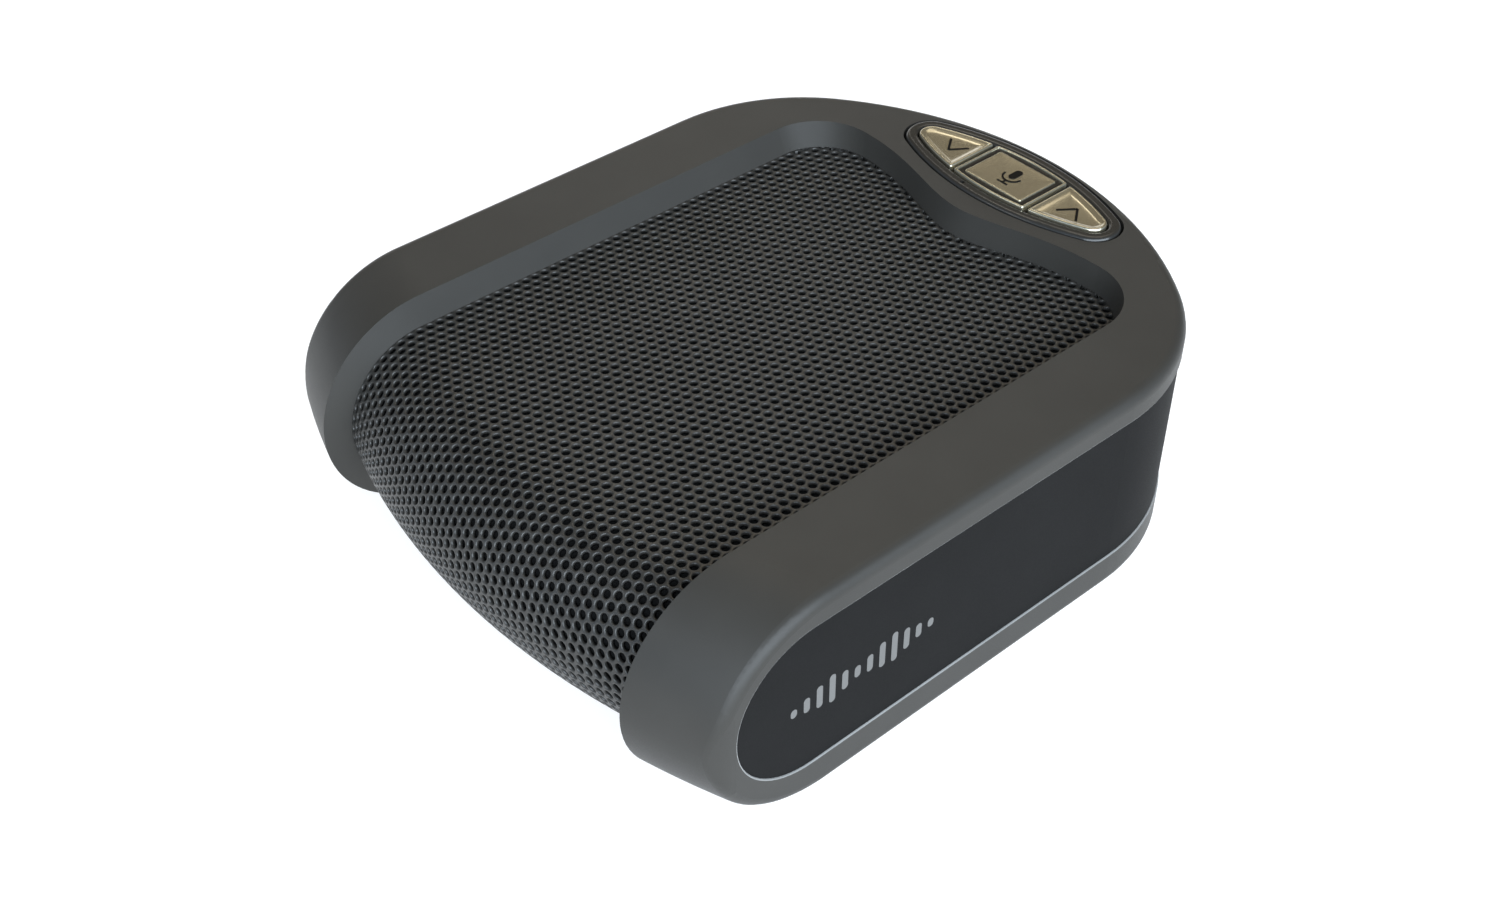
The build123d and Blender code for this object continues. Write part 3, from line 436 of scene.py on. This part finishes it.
def pressed_face(name, outline, corners, top, profile, body, closed=True):
    """A key face lofted inward from its outline: the profile gives distances in and depths, in mm."""
    centre = outline.mean(0)
    points, rows = [], []
    for distance, depth in profile:
        ring = moved_in(outline, min(distance, EDGE_BAND) * MM)
        if distance > EDGE_BAND:
            ring = centre + (ring - centre) * (1 - (distance - EDGE_BAND) / DISH_REACH)
        ring = with_round_corners(ring, corners, max(KEY_CORNER - distance * MM, SMALLEST_CORNER))
        rows.append(range(len(points), len(points) + len(ring)))
        points += [(x, y, top - depth * MM) for x, y in ring]
    count = len(rows[0])
    following = [(i, (i + 1) % count) for i in range(count)]
    faces = []
    for outer, inner in zip(rows, rows[1:]):
        faces += [(outer[i], outer[j], inner[j], inner[i]) for i, j in following]
    if closed:
        points.append((*centre, top - profile[-1][1] * MM))
        faces += [(rows[-1][i], rows[-1][j], len(points) - 1) for i, j in following]
    return add_piece(name, points, faces, "key_metal", body)


def prism(outline, low, high):
    """A flat closed shape between two heights, as points and faces."""
    count = len(outline)
    points = [(x, y, z) for z in (low, high) for x, y in outline]
    faces = [tuple(range(count, 2 * count)), tuple(reversed(range(count)))]
    faces += [(i, (i + 1) % count, count + (i + 1) % count, count + i) for i in range(count)]
    return points, faces


def stroke(path, width):
    """A line of even width along a path, with square ends, as an outline."""
    path = [np.array(p) for p in path]
    left, right = [], []
    for i, point in enumerate(path):
        ahead = path[min(i + 1, len(path) - 1)] - path[max(i - 1, 0)]
        side = np.array((-ahead[1], ahead[0])) / np.linalg.norm(ahead) * width / 2
        left.append(point + side)
        right.append(point - side)
    return right + left[::-1]


def arc(middle, radius, start, end, count):
    """Points of an arc in a plane."""
    return [np.array((middle[0] + radius * cos(a), middle[1] + radius * sin(a)))
            for a in np.linspace(start, end, count)]


def rounded_bar(x, low, high, radius):
    """An upright bar with round ends, as an outline; low and high are the middles of its ends."""
    return (arc((x, high), radius, 0, pi, ROUND_END_POINTS)
            + arc((x, low), radius, pi, 2 * pi, ROUND_END_POINTS))


def add_icon(name, outlines, top, body):
    """Printed shapes on a key, a hair proud of its dished face."""
    points, faces = [], []
    for outline in outlines:
        more, sides = prism(outline, top - ICON_HEIGHT, top)
        faces += [[i + len(points) for i in face] for face in sides]
        points += more
    return add_piece(name, points, faces, "icon", body, smooth=False)


def add_volume_keys(lens):
    """The two keys at the ends of the lens; their chevrons point to the front and to the rear."""
    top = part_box("volume_up_key")[1].z
    for side, body in ((-1, "volume_down"), (1, "volume_up")):
        key = pressed_face(f"{body}_cap", *lens.end_key(side), top, KEY_PROFILE, body)
        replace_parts(key, f"{body}_key")
        at = np.array((side * CHEVRON_X + ICON_SHIFT, lens.middle_y))
        left, tip, right = (at + np.array((x, side * y)) * MM for x, y in CHEVRON)
        strokes = [stroke((left, tip), ICON_STROKE), stroke((tip, right), ICON_STROKE)]
        add_icon(f"{body}_icon", strokes, top - CHEVRON_DEPTH, body)


def microphone(at):
    """The outlines of a microphone icon: cradle, capsule, stem and foot."""
    def placed(path):
        return [at + np.array(point) * MM for point in path]

    low, high = CAPSULE_ENDS
    cradle = arc((0, CRADLE_Y), CRADLE_RADIUS, pi, 2 * pi, CRADLE_POINTS)
    capsule = rounded_bar(0, low, high, CAPSULE_RADIUS)
    lines = [stroke(placed(path), THIN_STROKE) for path in (cradle, STEM, FOOT)]
    return [lines[0], placed(capsule), *lines[1:]]


def add_mute_key(lens):
    """The mute key's frame, and its plate with a microphone."""
    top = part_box("volume_up_key")[1].z
    rim = pressed_face("mute_frame", *lens.middle_key(), top, FRAME_PROFILE, "mute", closed=False)
    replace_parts(rim, "mute_key_frame")
    low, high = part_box("mute_key_plate")
    outline = np.array(((low.x, low.y), (high.x, low.y), (high.x, high.y), (low.x, high.y)))
    plate = pressed_face("mute_plate", outline, range(4), high.z, PLATE_PROFILE, "mute")
    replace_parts(plate, "mute_key_plate")
    icon = microphone(np.array((ICON_SHIFT, lens.middle_y)))
    add_icon("mute_icon", icon, high.z - MICROPHONE_DEPTH, "mute")


key_lens = KeyLens()
add_volume_keys(key_lens)
add_mute_key(key_lens)

# ---- belt edge -------------------------------------------------------------------------------------
BELT_GAP = 0.12 * MM            # between the belt and the edge of its recess
BELT_DOWN = 0.25 * MM           # how far the belt lies under the housing's face
EDGE_STEP = 0.05 * MM           # shortest step along the edge
NOSE_SLACK = 0.1 * MM           # how far ahead of its nose's middle the belt's top may begin
NOSE_POINTS = 33                # on the half circle round a nose
# the rounding from the housing's face to the belt: distance out and distance over the belt, in mm
EDGE_SECTION = ((-0.01, -0.03), (-0.02, 0.05), (-0.06, 0.13), (-0.13, 0.19), (-0.26, 0.22))


def belt_loop():
    """The edge of the belt's recess as a loop: points, outward directions, directions over the belt."""
    low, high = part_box("side_belt")
    radius = (high.z - low.z) / 2 + BELT_GAP
    middle_y, middle_z = low.y + radius - BELT_GAP, (low.z + high.z) / 2
    belt = nodes["side_belt"]
    corners = np.array([belt.matrix_world @ v.co for v in belt.data.vertices])
    on_top = abs(corners[:, 2] - high.z) < NEAR
    plan = corners[on_top & (corners[:, 1] > middle_y - NOSE_SLACK)][:, :2]
    plan = plan[(plan[:, 1] > 0) | (abs(plan[:, 0]) > plan[:, 0].max() - NEAR)]
    order = np.argsort(np.arctan2(-plan[:, 0], plan[:, 1]))
    # the outer one of the belt's two walls, from right to left round the rear
    hull = []
    for point in plan[order]:
        while len(hull) > 1 and np.cross(hull[-1] - hull[-2], point - hull[-1]) <= 0:
            hull.pop()
        if not hull or np.linalg.norm(point - hull[-1]) > EDGE_STEP:
            hull.append(point)
    path = np.array(hull)
    ahead = np.gradient(path, axis=0)
    ahead[0], ahead[-1] = (0, 1), (0, -1)
    out = np.stack([ahead[:, 1], -ahead[:, 0]], 1) / np.linalg.norm(ahead, axis=1, keepdims=True)
    path = path + out * BELT_DOWN
    points, outs, inwards = [], [], []

    def follow(rows, z, inward_z):
        for i in rows:
            points.append((*path[i], z))
            outs.append((*out[i], 0))
            inwards.append((0, 0, inward_z))

    def nose(row, start):
        for a in np.linspace(start, -start, NOSE_POINTS)[1:-1]:
            points.append((path[row][0], middle_y - radius * cos(a), middle_z + radius * sin(a)))
            outs.append((*out[row], 0))
            inwards.append((0, cos(a), -sin(a)))

    follow(range(len(path)), middle_z + radius, -1)
    nose(-1, pi / 2)
    follow(range(len(path) - 1, -1, -1), middle_z - radius, 1)
    nose(0, -pi / 2)
    return np.array(points), np.array(outs), np.array(inwards)


def add_belt_edge():
    """The rounded edge of the recess round the side belt; its light grey colour is a painted highlight,
    the thin bright line that the rounding catches.
    """
    points, outs, inwards = belt_loop()
    rows = [points + (outs * n + inwards * b) * MM for n, b in EDGE_SECTION]
    count = len(points)
    faces = []
    for k in range(len(rows) - 1):
        for i in range(count):
            j = (i + 1) % count
            faces.append((k * count + i, k * count + j, (k + 1) * count + j, (k + 1) * count + i))
    add_piece("belt_edge", np.concatenate(rows), faces, "edge")


add_belt_edge()

# ---- side mark -------------------------------------------------------------------------------------
# all in mm
MARK_BARS = (1.6, 2.8, 4.2, 5.4, 3.6, 2.2, 3.2, 4.8, 5.6, 4.0, 2.6, 1.6)     # heights
MARK_START = -42.0
MARK_PITCH = 2.3
MARK_WIDTH = 1.1
MARK_MIDDLE = 19.0
MARK_BEHIND = 0.05              # from under the belt's face
MARK_PROUD = 0.02               # to just over it


def add_side_mark():
    """A printed row of sound level bars with round ends, on the right side's belt."""
    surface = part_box("side_belt")[1].x / MM
    points, faces = [], []
    for k, height in enumerate(MARK_BARS):
        y = MARK_START + k * MARK_PITCH
        straight = (height - MARK_WIDTH) / 2
        outline = rounded_bar(y, MARK_MIDDLE - straight, MARK_MIDDLE + straight, MARK_WIDTH / 2)
        more, sides = prism(outline, surface - MARK_BEHIND, surface + MARK_PROUD)
        faces += [[i + len(points) for i in face] for face in sides]
        points += [(x * MM, y * MM, z * MM) for y, z, x in more]
    add_piece("side_mark", points, faces, "mark", smooth=False)


add_side_mark()

# ---- stage -----------------------------------------------------------------------------------------
FLOOR_HALF = 3.0                # half its side
FLOOR_GREY = 0.42
FLOOR_GLOW = 0.68               # its own light, so that it stays white round the unit
WARM_SIDE = (-0.5, 0.5, 0.7)    # toward the sky's warm part
WARM_START = 0.75               # from here on the sky is wholly warm
COOL_SKY = (0.30, 0.42, 0.60, 1)
WARM_SKY = (0.25, 0.205, 0.14, 1)


def add_floor():
    """A pale floor, large enough to fill the view."""
    grey = (FLOOR_GREY,) * 3
    material = moulded("floor_paint", grey, 0.8, 400, 0.00002, vary=0.005, specular=0.0)
    shader = material.node_tree.nodes["Principled BSDF"]
    shader.inputs["Emission Color"].default_value = (1, 1, 1, 1)
    shader.inputs["Emission Strength"].default_value = FLOOR_GLOW
    mesh = bpy.data.meshes.new("floor")
    half = FLOOR_HALF
    corners = [(-half, -half, 0), (half, -half, 0), (half, half, 0), (-half, half, 0)]
    mesh.from_pydata(corners, [], [(0, 1, 2, 3)])
    mesh.materials.append(material)
    floor = bpy.data.objects.new("floor", mesh)
    scene.collection.objects.link(floor)


def add_area_light(name, azimuth, elevation, distance, size, power, colour):
    """A soft light aimed at the unit; azimuth is measured like the camera's."""
    a, e = radians(azimuth), radians(elevation)
    toward = Vector((sin(a) * cos(e), -cos(a) * cos(e), sin(e)))
    data = bpy.data.lights.new(name, "AREA")
    data.shape = "RECTANGLE"
    data.size, data.size_y = size
    data.energy = power
    data.color = colour
    light = bpy.data.objects.new(name, data)
    turn = toward.to_track_quat("Z", "Y").to_matrix().to_4x4()
    light.matrix_world = Matrix.Translation(toward * distance) @ turn
    scene.collection.objects.link(light)


def add_world():
    """A sky that is cool towards the camera and dim and warm behind the unit and above it."""
    world = bpy.data.worlds.new("world")
    world.use_nodes = True
    tree = world.node_tree
    place = tree.nodes.new("ShaderNodeTexCoord")
    facing = tree.nodes.new("ShaderNodeVectorMath")
    facing.operation = "DOT_PRODUCT"
    facing.inputs[1].default_value = WARM_SIDE
    ramp = tree.nodes.new("ShaderNodeValToRGB")
    ramp.color_ramp.elements[0].position = 0.0
    ramp.color_ramp.elements[0].color = COOL_SKY
    ramp.color_ramp.elements[1].position = WARM_START
    ramp.color_ramp.elements[1].color = WARM_SKY
    tree.links.new(place.outputs["Generated"], facing.inputs[0])
    tree.links.new(facing.outputs["Value"], ramp.inputs["Fac"])
    tree.links.new(ramp.outputs["Color"], tree.nodes["Background"].inputs["Color"])
    scene.world = world


scene.view_settings.view_transform = "Standard"
add_floor()
add_world()
# name, azimuth, elevation, distance, size, power, colour
add_area_light("top_light", 215, 60, 0.9, (0.5, 0.5), 1.2, (1.0, 0.90, 0.74))
add_area_light("key_glint", 234, 47, 0.8, (0.03, 0.6), 0.25, (1.0, 0.95, 0.85))
add_area_light("front_light", 66, 30, 1.0, (1.8, 0.9), 40.0, (0.80, 0.90, 1.0))
add_area_light("rear_light", 238, 8, 1.2, (1.2, 0.4), 2.0, (0.95, 0.97, 1.0))
add_area_light("edge_light", -26, 35, 1.0, (0.4, 0.12), 0.8, (1.0, 0.97, 0.90))
